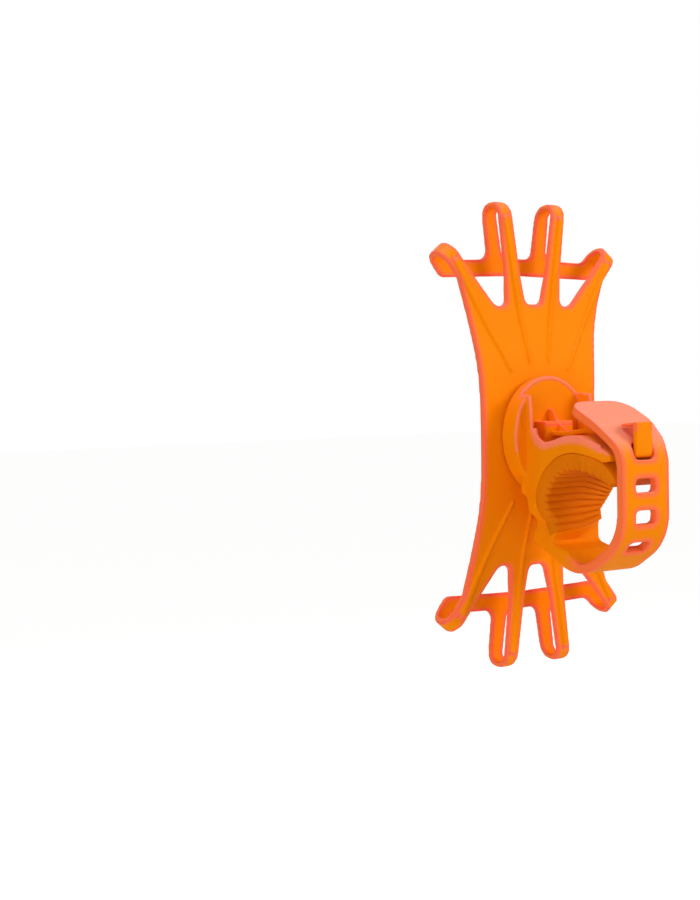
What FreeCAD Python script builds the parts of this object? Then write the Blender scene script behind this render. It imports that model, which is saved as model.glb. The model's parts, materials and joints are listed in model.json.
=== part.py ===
"""Silicone phone mount for a handlebar: a stretch cradle that turns on a strapped seat.

Millimetres, +Z up. The origin is the middle of the handlebar's axis, which runs along X.
The phone looks towards -Y and the handlebar lies behind it, towards +Y. Each piece is
drawn about the swivel axis (along Y) and moved to the handlebar's frame at the end.
"""
import FreeCAD, Part
import math
import os
from FreeCAD import Vector

# ---- cradle: the stretch web and its eight loops --------------------------------------
cradle_height = 126.4
corner_reach = 31.0          # middle to the outer corner of a corner loop
corner_height = 49.1         # height of that corner
waist_width = 39.4
web_thickness = 1.8
web_bow = 2.2                # how far the web's ends stand in front of its middle
flat_half = 10.0             # half height of the flat middle
bow_end = 38.0               # height at which the web is upright again
loop_depth = 8.3             # over both legs of a loop
band_height = 4.7
band_top = 48.3
band_sag = 0.8               # the band's ends lie this much nearer the middle
side_window_bottom = 35.0
side_window_slope = 48.5     # of its outer edge, degrees from level
middle_window_bottom = 35.5
finger_root_in = 4.5         # finger edges where the cross band passes
finger_root_out = 9.6
finger_tip_in = 7.55
finger_tip_out = 11.75
corner_arm_width = 4.5
stub_fillet = 2.6
back_rib_width = 1.7
back_rib_height = 0.7
back_rib_inner = 20.0        # distance from the swivel axis at which the ribs fade out

# ---- hub: what clamps the web and lets it turn ----------------------------------------
hub_hole = 12.2              # hole through the web
button_diameter = 16.5
button_height = 1.5          # above the web
badge_diameter = 15.4
badge_thickness = 0.8
adhesive_thickness = 0.25
rotor_diameter = 25.0
rotor_thickness = 1.7
screw_thread = 3.0
screw_shoulder = 3.8
screw_head = 7.0
screw_head_height = 0.8
bush_wall = 0.6
running_gap = 0.05           # radial, between a turning face and what it turns on
turn_gap = 0.3               # between other faces that pass each other
washer_thickness = 0.4
spring_thickness = 0.25
spring_cone = 0.2            # how much its inner edge stands in front of the outer one
friction_ring_diameter = 19.0    # middle of the ring's width
friction_ring_width = 1.8
friction_ring_seat = 0.6     # depth of its groove in the core

# ---- seat: cup, saddle and its liner ---------------------------------------------------
bar_diameter = 22.2
bar_standoff = 15.3          # swivel plane to the handlebar's nearest side
bar_drop = 8.1               # swivel axis down to the handlebar's top
cup_depth = 5.8
cup_side = 1.2               # wall of the cup beside the turning disc
cup_rim = 1.1                # wall of the cup round the open pocket
core_thickness = 1.4
core_grip = 2.1              # how far the cup's lip overlaps the core, above and below
seat_width = 24.0
seat_wall = 0.9
waist_half = 10.6            # half width where the seat leaves the cup
waist_end = 13.8             # from here rearward the seat has its full width
heel_half = 8.3              # half width at the heel, where the strap starts
corner_round = 10.5          # the seat's lower corners in the front view
corner_top = 5.2             # height above the handlebar's axis at which they start
shoulder_height = 11.1       # top of the side walls above the swivel axis
shoulder_back = 8.3
trough_floor = 1.7           # the pocket's floor, below the handlebar's top
trough_reach = 14.2          # its rear corner, in front of the handlebar's axis
trough_mouth = 11.6          # and its rear wall higher up
trough_corner_rise = 2.5
trough_front = 9.5
wall_foot = 9.2              # where the side walls drop to the saddle's ridge
ridge_foot = 2.0
saddle_thickness = 4.5       # over the liner
saddle_front = 4.0           # where the side view begins, inside the cup
ridge_start = 108.0          # the ridge's round part over the handlebar, degrees from the rear
ridge_middle = 94.0
ridge_end = 80.0
ridge_dip_front = 10.5       # the ridge's lowest corner, in front of the handlebar's axis
ridge_dip_rise = 6.2         # and above the handlebar's top
toe_rise = 1.7               # the heel's underside beside the strap's root
instep_drop = 3.4            # end of the seat's front face, below the handlebar's axis
nose_out = 2.8               # the arch's rear end, over the liner's outside
nose_angle = 57.0            # and its place, degrees about the handlebar's axis from the rear
nose_drop = 1.7
full_width_end = 3.5         # the seat narrows from here, behind the handlebar's axis
nose_end_reach = 10.6        # and is at its narrowest here
nose_overlap = 0.4           # how much wider than the strap it is there, each side
nose_root = 58.0             # where the liner comes free of the saddle
toe_front = 5.7              # the heel's foremost edge, under the cup
toe_drop = 8.3               # and its height below the handlebar's axis
instep = 7.9                 # depth of the seat's front face above the toe
pad_thickness = 4.5
pad_start = 38.0
pad_end = 196.0
pad_tip_cut = 1.0            # how much thinner the pad's free end is
pad_chamfer = 1.6            # at both ends of the bore, along it
pad_chamfer_rise = 2.0
pad_land = 1.2               # smooth band between chamfer and ribs
pad_ribs = 18
pad_groove_depth = 0.55
boss_width = 9.6
boss_back = 7.5
rib_wall = 0.9
boss_top_share = 0.82        # height of the boss above the axis, as a share of its half width
insert_wall_share = 0.7      # wall round the insert, as a share of the ribs
bush_bed = 0.9               # depth of the bush's bed in the core
insert_diameter = 4.6

# ---- strap and hook ---------------------------------------------------------------------
strap_width = 16.0
strap_thickness = 2.4
strap_clearance = 0.7        # handlebar to the strap's inner face, behind it
strap_low_bend = 12.8        # radius of the strap's middle line under the handlebar
strap_high_bend = 9.0        # and where it turns over above the hook
strap_turn_height = -3.0     # corners of the strap's middle line above the swivel axis
strap_over_height = 3.4
tail_width = 19.6
tail_height = 8.3
tail_corner = 5.0
tail_start = -3.2            # the strap widens to its tail between these heights
tail_full = 3.8
slot_width = 6.8
slot_height = 3.6
slot_pitch = 8.0
slot_count = 4
slot_stretch = 0.9           # how much longer the hook pulls the slot that it is in
hook_width = 5.5
hook_level_end = 13.5        # the arm leaves the boss level as far as here
hook_crest = (-7.0, 2.6)     # its top over the saddle, either side of the handlebar's axis
hook_shank_start = 1.4       # its last bend, in front of the nose
hook_plate = 1.2
hook_post = 1.25
hook_tip_height = 4.2        # top of the hook above the swivel axis
hook_tip_plate = 0.8
hook_tip_reach = 5.6         # from the post's back face forward, over the strap
hook_tip_drop = 0.6          # how much lower its front end lies
hook_root_height = 0.7       # middle of the arm where it meets the boss
top_slot_height = -3.96      # middle of the slot that the hook is in

# ---- worked out -------------------------------------------------------------------------
web_back = 0.0
hub_front = -web_thickness
leg_back = -web_bow
leg_front = leg_back - loop_depth
half_height = cradle_height / 2
bar_radius = bar_diameter / 2
pad_radius = bar_radius + pad_thickness
saddle_radius = pad_radius + saddle_thickness
bar = Vector(0, bar_standoff + bar_radius, -bar_drop - bar_radius)
pocket_radius = rotor_diameter / 2 + turn_gap
cup_half_width = pocket_radius + cup_side
cup_half_height = pocket_radius + core_grip + cup_rim
core_front = rotor_thickness + 2 * running_gap + turn_gap
core_back = core_front + core_thickness
cup_front = 0.5
cup_back = cup_front + cup_depth
bush_radius = screw_shoulder / 2 + running_gap + bush_wall
FAR = 200.0


# ---- small helpers ------------------------------------------------------------------------
def yz(y, z, x=0.0):
    """A point of a side profile."""
    return Vector(x, y, z)


def xz(x, z, y=0.0):
    """A point of a front outline."""
    return Vector(x, y, z)


def around(centre, radius, degrees):
    """The point of a side profile at an angle on a circle; 0 is rearward, 90 is up."""
    turn = math.radians(degrees)
    return centre + Vector(0, radius * math.cos(turn), radius * math.sin(turn))


def disc(radius, front, back, x=0.0, z=0.0):
    """A round solid about an axis along Y, from one depth to another."""
    return Part.makeCylinder(radius, back - front, Vector(x, front, z), Vector(0, 1, 0))


def oval(half_width, half_height, front, back):
    """An upright oval solid about the swivel axis, taller than it is wide."""
    curve = Part.Ellipse(Vector(0, front, half_height), Vector(half_width, front, 0), Vector(0, front, 0))
    return Part.Face(Part.Wire(curve.toShape())).extrude(Vector(0, back - front, 0))


def ring(outer, inner, front, back):
    return disc(outer, front, back).cut(disc(inner, front - 1, back + 1))


def slab(x0, x1, y0, y1, z0, z1):
    return Part.makeBox(x1 - x0, y1 - y0, z1 - z0, Vector(x0, y0, z0))


def rounded_path(corners):
    """Edges through corner points, each (point, radius), with a tangent arc at each one."""
    edges = []
    last = corners[0][0]
    for (before, _), (here, radius), (after, _) in zip(corners, corners[1:], corners[2:]):
        arrive = (here - before).normalize()
        leave = (after - here).normalize()
        if radius <= 0:
            edges.append(Part.LineSegment(last, here).toShape())
            last = here
            continue
        half_turn = arrive.getAngle(leave) / 2
        reach = radius * math.tan(half_turn)
        start = here - arrive * reach
        end = here + leave * reach
        inward = (leave - arrive).normalize()
        middle = here + inward * (radius / math.cos(half_turn) - radius)
        if (start - last).Length > 1e-6:
            edges.append(Part.LineSegment(last, start).toShape())
        edges.append(Part.Arc(start, middle, end).toShape())
        last = end
    edges.append(Part.LineSegment(last, corners[-1][0]).toShape())
    return edges


def closed_face(corners):
    """A flat face from corner points, each (point, radius)."""
    first = (corners[-1][0] + corners[0][0]) * 0.5
    loop = [(first, 0)] + list(corners) + [(first, 0)]
    return Part.Face(Part.Wire(rounded_path(loop)))


def across(face, width):
    """A side profile made as wide as the piece, about the middle plane."""
    shape = face.extrude(Vector(width, 0, 0))
    shape.translate(Vector(-width / 2, 0, 0))
    return shape


def through(face, front=-FAR / 2, back=FAR / 2):
    """A front outline made into a prism along Y."""
    shape = face.copy()
    shape.translate(Vector(0, front, 0))
    return shape.extrude(Vector(0, back - front, 0))


def four_ways(shape):
    """The shape and its mirror images left, down and both."""
    across_x = shape.mirror(Vector(0, 0, 0), Vector(1, 0, 0))
    pair = [shape, across_x]
    return pair + [s.mirror(Vector(0, 0, 0), Vector(0, 0, 1)) for s in pair]


def one_solid(shape):
    """Merged faces, and the solid itself where a compound holds only one."""
    clean = shape.removeSplitter()
    return clean.Solids[0] if len(clean.Solids) == 1 else clean


# ---- cradle ---------------------------------------------------------------------------------
def bow_edges(offset):
    """One face line of the web seen from the side, bottom to top, bowed by two S curves."""
    rise = bow_end - flat_half
    radius = (rise ** 2 / 4 + web_bow ** 2 / 4) / web_bow
    half_turn = math.asin(rise / 2 / radius)
    edges = []
    for side in (-1, 1):
        flat = yz(web_back + offset, side * flat_half)
        waist = yz(web_back - web_bow / 2 + offset, side * (flat_half + rise / 2))
        end = yz(leg_back + offset, side * bow_end)
        sink = radius * (1 - math.cos(half_turn / 2))
        step = radius * math.sin(half_turn / 2)
        near = yz(web_back - sink + offset, side * (flat_half + step))
        far = yz(leg_back + sink + offset, side * (bow_end - step))
        tip = yz(leg_back + offset, side * half_height)
        run = [Part.Arc(flat, near, waist).toShape(), Part.Arc(waist, far, end).toShape(),
               Part.LineSegment(end, tip).toShape()]
        edges.append((tip, run))
    low_tip, low = edges[0]
    high_tip, high = edges[1]
    middle = Part.LineSegment(yz(web_back + offset, -flat_half), yz(web_back + offset, flat_half)).toShape()
    return low_tip, high_tip, low + [middle] + high


def web_sheet(front_offset, back_offset):
    """The bowed sheet between two offsets from its back face, as wide as the world."""
    low_a, high_a, back = bow_edges(back_offset)
    low_b, high_b, front = bow_edges(front_offset)
    ends = [Part.LineSegment(low_a, low_b).toShape(), Part.LineSegment(high_a, high_b).toShape()]
    wire = Part.Wire(Part.__sortEdges__(back + front + ends))
    return across(Part.Face(wire), FAR / 2)


def corner_heading():
    """Direction of a corner arm in the front view."""
    return Vector(math.cos(math.radians(51)), 0, math.sin(math.radians(51)))


def waist_outline():
    """The web without its arms: waisted sides between straight ends."""
    top = band_top - band_height
    side = waist_width / 2
    points = [xz(side + 6.2, -top), xz(side + 4.4, -top + 5), xz(side + 1.9, -29), xz(side, -9),
              xz(side, 9), xz(side + 1.9, 29), xz(side + 4.4, top - 5), xz(side + 6.2, top)]
    right = Part.BSplineCurve()
    right.interpolate(points)
    left = Part.BSplineCurve()
    left.interpolate([xz(-p.x, p.z) for p in points])
    edges = [right.toShape(), left.toShape(),
             Part.LineSegment(points[0], xz(-points[0].x, points[0].z)).toShape(),
             Part.LineSegment(points[-1], xz(-points[-1].x, points[-1].z)).toShape()]
    return Part.Face(Part.Wire(Part.__sortEdges__(edges)))


def corner_arm():
    """The web's share of a corner arm, up to where its loop starts to turn."""
    heading = corner_heading()
    side = Vector(heading.z, 0, -heading.x) * (corner_arm_width / 2)
    end = corner_tip() - heading * (loop_depth / 2)
    base = end - heading * 9
    return closed_face([(base - side, 0), (base + side, 0), (end + side, 0), (end - side, 0)])


def side_window():
    """The notch between a finger and a corner arm, open at the top."""
    root = band_top - band_height
    heading = corner_heading()
    arm_in = xz(corner_reach, corner_height) - Vector(heading.z, 0, -heading.x) * corner_arm_width
    arm_x = arm_in.x - (arm_in.z - root) * heading.x / heading.z
    slope = math.tan(math.radians(side_window_slope))
    foot_in = finger_root_out - 0.3
    foot_out = arm_x - (root - side_window_bottom) / slope
    foot = foot_out - foot_in
    round_out = 0.42 * foot / math.tan(math.radians(side_window_slope / 2))
    return closed_face([(xz(foot_in, side_window_bottom), 0.5 * foot),
                        (xz(foot_out, side_window_bottom), round_out),
                        (xz(arm_x + 2 / slope, root + 2), 0), (xz(finger_root_out + 0.1, root + 2), 0)])


def middle_window():
    """The notch between the two fingers, open at the top."""
    root = band_top - band_height
    foot = finger_root_in - 1.8
    right = [(xz(foot, middle_window_bottom), foot * 0.8), (xz(finger_root_in, root), 8),
             (xz(finger_root_in + 0.2, root + 2), 0)]
    left = [(xz(-p.x, p.z), r) for p, r in reversed(right)]
    return closed_face(right + left)


def finger_outline(low):
    """A finger from a height up to its tip, seen from the front."""
    root = band_top - band_height
    lean_in = (finger_tip_in - finger_root_in) / (half_height - root)
    lean_out = (finger_tip_out - finger_root_out) / (half_height - root)
    return closed_face([(xz(finger_root_in + lean_in * (low - root), low), 0),
                        (xz(finger_root_out + lean_out * (low - root), low), 0),
                        (xz(finger_tip_out, half_height), 1.1), (xz(finger_tip_in, half_height), 1.1)])


def hairpin(length, width):
    """A loop lying along +Z with its tip at height 0, its back leg at the web's plane."""
    outer = loop_depth / 2
    middle = leg_back - outer
    inner = outer - web_thickness
    turn = -outer
    edges = []
    for radius in (outer, inner):
        edges.append(Part.Arc(yz(middle - radius, turn), yz(middle, turn + radius),
                              yz(middle + radius, turn)).toShape())
        for side in (-1, 1):
            edges.append(Part.LineSegment(yz(middle + side * radius, turn),
                                          yz(middle + side * radius, -length)).toShape())
    for side in (-1, 1):
        edges.append(Part.LineSegment(yz(middle + side * outer, -length),
                                      yz(middle + side * inner, -length)).toShape())
    return across(Part.Face(Part.Wire(Part.__sortEdges__(edges))), width)


def finger_loop():
    """One finger: out along the web's plane, round the tip and back to the cross band."""
    reach = loop_depth / 2 + 1
    pin = hairpin(reach, FAR / 4)
    pin.translate(Vector(0, 0, half_height))
    return pin.common(through(finger_outline(half_height - reach - 1)))


def corner_tip():
    """Middle of a corner loop's end edge, in the front view."""
    heading = corner_heading()
    return xz(corner_reach, corner_height) - Vector(heading.z, 0, -heading.x) * (corner_arm_width / 2)


def corner_loop():
    """One corner arm: the same hairpin, lying along the arm."""
    heading = corner_heading()
    pin = hairpin(loop_depth / 2 + 1, corner_arm_width)
    tilt = 90 - math.degrees(math.atan2(heading.z, heading.x))
    pin.rotate(Vector(0, 0, 0), Vector(0, 1, 0), tilt)
    pin.translate(corner_tip())
    return pin


def front_band():
    """The cross band in front of the phone, with the roots of its loops' front legs."""
    heading = corner_heading()
    side = Vector(heading.z, 0, -heading.x) * (corner_arm_width / 2)
    tip = corner_tip()
    low = band_top - band_height
    edge_drop = band_sag
    inner = tip - side - heading * (loop_depth / 2)
    outer = tip + side - heading * (loop_depth / 2)
    knee_x = inner.x - (inner.z - band_top + edge_drop) * heading.x / heading.z
    elbow_x = outer.x - (outer.z - low + edge_drop) * heading.x / heading.z
    right = [(xz(0, low), 0), (xz(elbow_x, low - edge_drop), 2.2), (outer, 0), (inner, 0),
             (xz(knee_x, band_top - edge_drop), 3.5), (xz(0, band_top), 0)]
    left = [(xz(-p.x, p.z), r) for p, r in reversed(right[1:-1])]
    band = through(closed_face(right[:-1] + [right[-1]] + left), leg_front, leg_front + web_thickness)
    stubs = through(finger_outline(low + 1), leg_front, leg_front + web_thickness)
    stubs = stubs.common(slab(0, corner_reach, -FAR, FAR, 0, half_height - loop_depth / 2))
    both = band.fuse([stubs, stubs.mirror(Vector(0, 0, 0), Vector(1, 0, 0))])
    both = one_solid(both)
    joints = [e for e in both.Edges if is_stub_corner(e)]
    return both.makeFillet(stub_fillet, joints)


def is_stub_corner(edge):
    """The inner corners between a finger's front leg and the top of the cross band."""
    if abs(edge.BoundBox.YLength - web_thickness) > 1e-3 or edge.BoundBox.XLength > 1e-3:
        return False
    x = abs(edge.CenterOfMass.x)
    z = edge.CenterOfMass.z
    on_top = band_top - band_sag - 0.1 < z < band_top + 0.1
    return on_top and finger_root_in < x < finger_tip_out


def back_rib(tip, base_distance):
    """A raised rib on the web's back, from an arm's tip towards the swivel axis."""
    heading = Vector(tip)
    heading.normalize()
    foot = heading * base_distance
    side = Vector(heading.z, 0, -heading.x) * (back_rib_width / 2)
    return closed_face([(foot - side * 0.3, 0), (foot + side * 0.3, 0), (tip + side, 0), (tip - side, 0)])


def make_phone_cradle():
    sheet = web_sheet(-web_thickness, 0.0)
    outline = through(waist_outline())
    notch, gap = through(side_window()), through(middle_window())
    for hole in four_ways(notch) + [gap, gap.mirror(Vector(0, 0, 0), Vector(0, 0, 1))]:
        outline = outline.cut(hole)
    arm_end = slab(0, FAR, -FAR, FAR, 0, half_height - loop_depth / 2)
    finger = through(finger_outline(band_top - band_height - 4)).common(arm_end)
    for arm in (finger, through(corner_arm())):
        outline = outline.fuse(four_ways(arm))
    web = sheet.common(outline)
    arms = []
    arms += four_ways(finger_loop())
    arms += four_ways(corner_loop())
    band = front_band()
    arms += [band, band.mirror(Vector(0, 0, 0), Vector(0, 0, 1))]
    skin = web_sheet(-0.2, back_rib_height)
    finger_tip = xz((finger_tip_in + finger_tip_out) / 2, half_height - loop_depth / 2)
    corner_end = corner_tip() - corner_heading() * (loop_depth / 2)
    for tip in (finger_tip, corner_end):
        rib = through(back_rib(tip, back_rib_inner)).common(skin)
        arms += four_ways(rib)
    whole = web.fuse(arms)
    whole = whole.cut(disc(hub_hole / 2, -FAR / 4, FAR / 4))
    return one_solid(whole)


# ---- hub ---------------------------------------------------------------------------------------
button_front = hub_front - button_height
adhesive_back = button_front + badge_thickness - 0.15 + adhesive_thickness
floor_front = -0.2
floor_back = 1.0


def make_front_button():
    """The moulded button that clamps the web from the front and carries the badge."""
    body = disc(button_diameter / 2, button_front, hub_front)
    body = body.fuse(disc(hub_hole / 2 - running_gap, hub_front - 0.1, floor_back))
    body = body.cut(disc(badge_diameter / 2 + running_gap, button_front - 1, adhesive_back))
    body = body.cut(disc(screw_head / 2 + 0.6, button_front - 1, floor_front))
    body = body.cut(disc(bush_radius + running_gap, -FAR, FAR))
    return one_solid(body)


def make_badge_disc():
    front = adhesive_back - adhesive_thickness - badge_thickness
    plate = disc(badge_diameter / 2, front, front + badge_thickness)
    rim = [e for e in plate.Edges if abs(e.CenterOfMass.y - front) < 1e-6 and len(e.Vertexes) < 2
           and e.BoundBox.YLength < 1e-6]
    return plate.makeChamfer(0.25, rim)


def make_badge_adhesive():
    return disc(badge_diameter / 2 - 0.4, adhesive_back - adhesive_thickness, adhesive_back)


def make_rotor_plate():
    """The disc behind the web; the button's spigot is keyed into it."""
    plate = disc(rotor_diameter / 2, running_gap, rotor_thickness)
    rim = [e for e in plate.Edges if e.BoundBox.YLength < 1e-6 and e.CenterOfMass.y > 1
           and e.BoundBox.XLength > rotor_diameter - 1]
    plate = plate.makeChamfer(0.3, rim)
    plate = plate.cut(disc(hub_hole / 2, -1, floor_back))
    return one_solid(plate.cut(disc(bush_radius + running_gap, -1, FAR)))


def make_thrust_washer():
    return ring(screw_head / 2 + 0.3, screw_shoulder / 2 + 2 * running_gap,
                floor_front - washer_thickness - running_gap, floor_front - running_gap)


def make_spring_washer():
    """A shallow cone that the screw's head flattens, which gives the swivel its friction."""
    back = floor_front - washer_thickness - 2 * running_gap
    outer = screw_head / 2 + 0.2
    inner = screw_shoulder / 2 + 3 * running_gap
    section = closed_face([(yz(back - spring_cone, inner), 0), (yz(back, outer), 0),
                           (yz(back - spring_thickness, outer), 0),
                           (yz(back - spring_cone - spring_thickness, inner), 0)])
    return section.revolve(Vector(0, 0, 0), Vector(0, 1, 0), 360)


def make_pivot_screw():
    """Shoulder screw: low head under the badge, plain shoulder, thread in the insert."""
    head_back = floor_front - washer_thickness - spring_cone - spring_thickness - 3 * running_gap
    head_front = head_back - screw_head_height
    screw = disc(screw_head / 2, head_front, head_back)
    screw = screw.fuse(disc(screw_shoulder / 2, head_front + 0.1, core_front + 0.9))
    screw = screw.fuse(disc(screw_thread / 2, core_front, boss_back - 0.4))
    hexagon = Part.Face(Part.makePolygon([
        xz(1.25 * math.cos(math.radians(a)), 1.25 * math.sin(math.radians(a)), head_front)
        for a in range(0, 361, 60)]))
    return one_solid(screw.cut(hexagon.extrude(Vector(0, screw_head_height * 0.7, 0))))


def make_pivot_bush():
    return ring(bush_radius, screw_shoulder / 2 + running_gap, floor_front, core_front + 0.9)


def make_friction_ring():
    """Flat rubber ring that lies in the core's groove and bears on the turning disc."""
    middle = friction_ring_diameter / 2
    return ring(middle + friction_ring_width / 2, middle - friction_ring_width / 2,
                rotor_thickness + 2 * running_gap, core_front + friction_ring_seat)


# ---- seat ----------------------------------------------------------------------------------------
def make_swivel_core():
    """Hard core in the cup: a disc, and a cored-out boss that holds the screw's insert."""
    body = oval(cup_half_width - cup_rim, cup_half_height - cup_rim, core_front, core_back)
    half = boss_width / 2
    top = half * boss_top_share
    block = slab(-half, half, core_back - 0.1, boss_back, -half, top)
    cells = slab(-half + rib_wall, half - rib_wall, core_back, boss_back + 1, -half + rib_wall, top - rib_wall)
    cells = cells.cut(slab(-rib_wall / 2, rib_wall / 2, -1, FAR, -half, half))
    cells = cells.cut(slab(-half, half, -1, FAR, -rib_wall / 2, rib_wall / 2))
    cells = cells.cut(disc(insert_diameter / 2 + rib_wall * insert_wall_share, 0, FAR))
    body = body.fuse(block.cut(cells))
    middle = friction_ring_diameter / 2
    half_groove = friction_ring_width / 2 + running_gap
    body = body.cut(ring(middle + half_groove, middle - half_groove, 0, core_front + friction_ring_seat))
    body = body.cut(disc(bush_radius, core_front - 1, core_front + bush_bed))
    body = body.cut(disc(insert_diameter / 2, core_front + bush_bed, boss_back + 1))
    return one_solid(body)


def make_thread_insert():
    sleeve = ring(insert_diameter / 2, screw_thread / 2, core_front + bush_bed, boss_back)
    return sleeve


def saddle_profile():
    """Side view of the saddle, its side walls and its heel, without the liner's seat."""
    ridge = around(bar, saddle_radius, ridge_start)
    crest_end = around(bar, saddle_radius, ridge_end)
    nose = around(bar, pad_radius + nose_out, nose_angle)
    nose_end = nose + Vector(0, 0.5, -nose_drop)
    lip = around(bar, pad_radius, nose_root)
    heel_in = around(bar, pad_radius, pad_end)
    hinge = strap_hinge()
    heel_low = hinge + Vector(0, strap_thickness / 2 - turn_gap, 0)
    edges = rounded_path([(yz(saddle_front, 0), 0), (yz(saddle_front, shoulder_height), 0), (yz(shoulder_back, shoulder_height), 0.8),
                          (yz(wall_foot, ridge_foot), 0.5),
                          (yz(bar.y - ridge_dip_front, -bar_drop + ridge_dip_rise), 4), (ridge, 0)])
    edges.append(Part.Arc(ridge, around(bar, saddle_radius, ridge_middle), crest_end).toShape())
    edges += rounded_path([(crest_end, 0), (nose, 3), (nose_end, 0.5), (lip, 0)])
    edges.append(Part.Arc(lip, around(bar, pad_radius, (nose_root + pad_end) / 2), heel_in).toShape())
    edges += rounded_path([(heel_in, 0), (yz(heel_low.y, heel_in.z - 0.4), 0.5), (heel_low, 0),
                           (hinge + Vector(0, -toe_rise, 0.4), 0), (yz(toe_front, bar.z - toe_drop), 0.8),
                           (yz(instep, bar.z - instep_drop), 5), (yz(cup_back, -cup_half_height), 2),
                           (yz(saddle_front, 1 - cup_half_height), 0), (yz(saddle_front, 0), 0)])
    return Part.Face(Part.Wire(Part.__sortEdges__(edges)))


def seat_plan(inset=0.0):
    """Plan view of the seat: waisted behind the cup, full at the saddle, narrower at the nose."""
    half = seat_width / 2 - inset
    end = strap_width / 2 + nose_overlap - inset
    right = [(Vector(waist_half - inset, 0, 0), 0), (Vector(waist_half - inset, cup_back, 0), 3),
             (Vector(half, waist_end, 0), 3), (Vector(half, bar.y + full_width_end, 0), 6),
             (Vector(end, bar.y + nose_end_reach, 0), 0), (Vector(end, FAR / 3, 0), 0)]
    left = [(Vector(-p.x, p.y, 0), r) for p, r in reversed(right)]
    face = closed_face(right + left)
    face.translate(Vector(0, 0, -FAR / 2))
    return face.extrude(Vector(0, 0, FAR))


def seat_front():
    """Front view of the saddle: straight sides, round lower corners, then the strap's width."""
    half = seat_width / 2 + 0.05
    centre = Vector(half - corner_round, 0, bar.z + corner_top)
    turn = math.acos((heel_half - centre.x) / corner_round)
    low, middle = [centre + Vector(math.cos(a), 0, -math.sin(a)) * corner_round for a in (turn, turn / 2)]
    top = xz(half, FAR / 4)
    foot = xz(heel_half, -FAR / 4)
    edges = [Part.LineSegment(top, xz(-half, FAR / 4)).toShape(),
             Part.LineSegment(foot, xz(-heel_half, -FAR / 4)).toShape()]
    for side in (1, -1):
        run = [Vector(side * p.x, 0, p.z) for p in (top, xz(half, centre.z), middle, low, foot)]
        edges += [Part.LineSegment(run[0], run[1]).toShape(), Part.Arc(run[1], run[2], run[3]).toShape(),
                  Part.LineSegment(run[3], run[4]).toShape()]
    return through(Part.Face(Part.Wire(Part.__sortEdges__(edges))))


def trough():
    """The open pocket behind the core: oval under the rim, square between the side walls."""
    oval_top = oval(cup_half_width - cup_rim, cup_half_height - cup_rim, core_back, FAR / 4)
    oval_top = oval_top.common(slab(-FAR, FAR, -FAR, FAR, shoulder_height, FAR))
    floor = -bar_drop - trough_floor
    side = closed_face([(yz(core_back, floor), 0), (yz(core_back, FAR / 8), 0), (yz(FAR / 8, FAR / 8), 0),
                        (yz(bar.y - trough_mouth, -0.2), 0),
                        (yz(bar.y - trough_reach, floor + trough_corner_rise), 2), (yz(trough_front, floor), 1)])
    return oval_top.fuse(across(side, FAR / 2).common(seat_plan(seat_wall)))


def strap_socket():
    """The rounded bed that the strap's root turns in."""
    hinge = strap_hinge()
    radius = strap_thickness / 2 + turn_gap
    return Part.makeCylinder(radius, seat_width + 2, Vector(-seat_width / 2 - 1, hinge.y, hinge.z), Vector(1, 0, 0))


def make_seat_body(hook):
    body = across(saddle_profile(), seat_width + 2).common(seat_plan()).common(seat_front())
    body = oval(cup_half_width, cup_half_height, cup_front, cup_back).fuse(body)
    body = body.cut(disc(pocket_radius, cup_front - 1, core_front))
    body = body.cut(oval(cup_half_width - cup_rim, cup_half_height - cup_rim, core_front, core_back))
    body = body.cut(trough())
    body = body.cut(strap_socket())
    body = body.cut(hook_bed())
    body = body.cut(hook)
    return one_solid(body)


def pad_profile():
    """Side view of the liner: an arc under the saddle whose free rear end thins to its tip."""
    bore = bar_radius + running_gap
    middle = (nose_root + pad_end) / 2
    root = around(bar, pad_radius, nose_root)
    tip = around(bar, pad_radius - pad_tip_cut, pad_start)
    inner = around(bar, bore, pad_start)
    outer_end = around(bar, pad_radius, pad_end)
    inner_end = around(bar, bore, pad_end)
    edges = [Part.Arc(root, around(bar, pad_radius, middle), outer_end).toShape(),
             Part.Arc(inner, around(bar, bore, middle), inner_end).toShape(),
             Part.LineSegment(root, tip).toShape(),
             Part.LineSegment(tip, inner).toShape(),
             Part.LineSegment(outer_end, inner_end).toShape()]
    return Part.Face(Part.Wire(Part.__sortEdges__(edges)))


def make_grip_pad():
    """Ribbed liner: chamfered ends, a smooth land at each, and ribs along the handlebar between."""
    bore = bar_radius + running_gap
    pad = across(pad_profile(), seat_width).common(seat_plan()).common(seat_front())
    for side in (-1, 1):
        start = Vector(side * (seat_width / 2 - pad_chamfer), bar.y, bar.z)
        pad = pad.cut(Part.makeCone(bore, bore + pad_chamfer_rise, pad_chamfer, start, Vector(side, 0, 0)))
    margin = math.degrees(2 * pad_groove_depth / bar_radius)
    span = (pad_end - pad_start - 2 * margin) / pad_ribs
    length = seat_width - 2 * (pad_chamfer + pad_land)
    for number in range(pad_ribs):
        at = around(bar, bar_radius, pad_start + margin + span * (number + 0.5))
        groove = Part.makeCylinder(pad_groove_depth, length, Vector(-length / 2, at.y, at.z), Vector(1, 0, 0))
        pad = pad.cut(groove)
    return one_solid(pad)


# ---- strap and hook ----------------------------------------------------------------------------------
def strap_hinge():
    """Axis on which the strap stands in for its flexing root."""
    return yz(bar.y - bar_radius - 2.8, bar.z - bar_radius + 0.5)


def strap_corners():
    """Corners of the strap's middle line, root to tail, each with its bend radius."""
    back = bar.y + bar_radius + strap_clearance + strap_thickness / 2
    return [(strap_hinge(), 0), (yz(bar.y - 2.6, bar.z - bar_radius - 5.5), 12.5),
            (yz(back, bar.z - 6.6), strap_low_bend), (yz(back, strap_turn_height), strap_high_bend),
            (yz(bar.y + 5.1, strap_over_height), 20), (yz(bar.y - 5.0, tail_height), 0)]


def strap_line():
    return Part.Wire(rounded_path(strap_corners()))


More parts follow.
